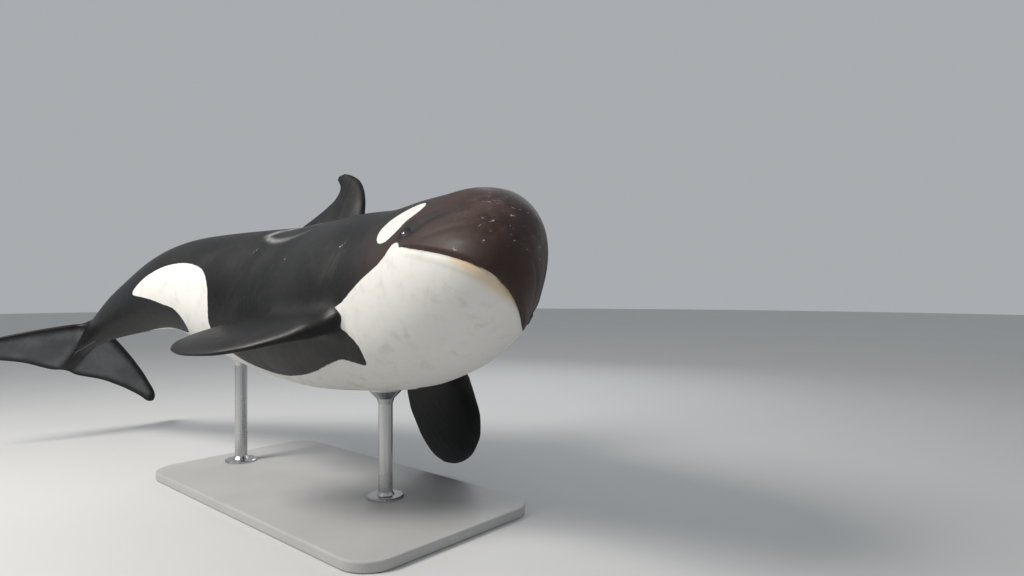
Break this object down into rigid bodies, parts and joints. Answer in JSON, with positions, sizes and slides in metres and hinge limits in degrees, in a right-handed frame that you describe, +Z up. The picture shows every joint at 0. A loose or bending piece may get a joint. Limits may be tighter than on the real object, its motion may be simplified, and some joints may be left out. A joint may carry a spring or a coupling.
{
  "type": "orca display model",
  "caption": "Life-size still model of a swimming orca, banked and curved, on a flat base with rods up to its belly.",
  "frame": {"origin": "middle of the stand's underside, below the model's centre of mass", "axes": "+Z up, +X the way the trunk heads, +Y to the animal's left"},
  "size_m": [5.3012, 2.3565, 2.2545],
  "materials": {
    "skin": "smooth wet-looking whale skin, black with white patches, satin",
    "eye": "dark glossy eye",
    "stand_plate": "pale grey satin paint",
    "stand_rod": "brushed steel"
  },
  "bodies": {
    "root": {"head": "skin", "lower_jaw": "skin", "chest": "skin", "torso": "skin", "loin": "skin", "tail_stock": "skin", "dorsal_fin": "skin", "flipper_left": "skin", "flipper_right": "skin", "fluke_left": "skin", "fluke_right": "skin", "eye_left": "eye", "eye_right": "eye", "stand_base": "stand_plate", "stand_rod_front": "stand_rod", "stand_rod_rear": "stand_rod"}
  },
  "joints": []
}
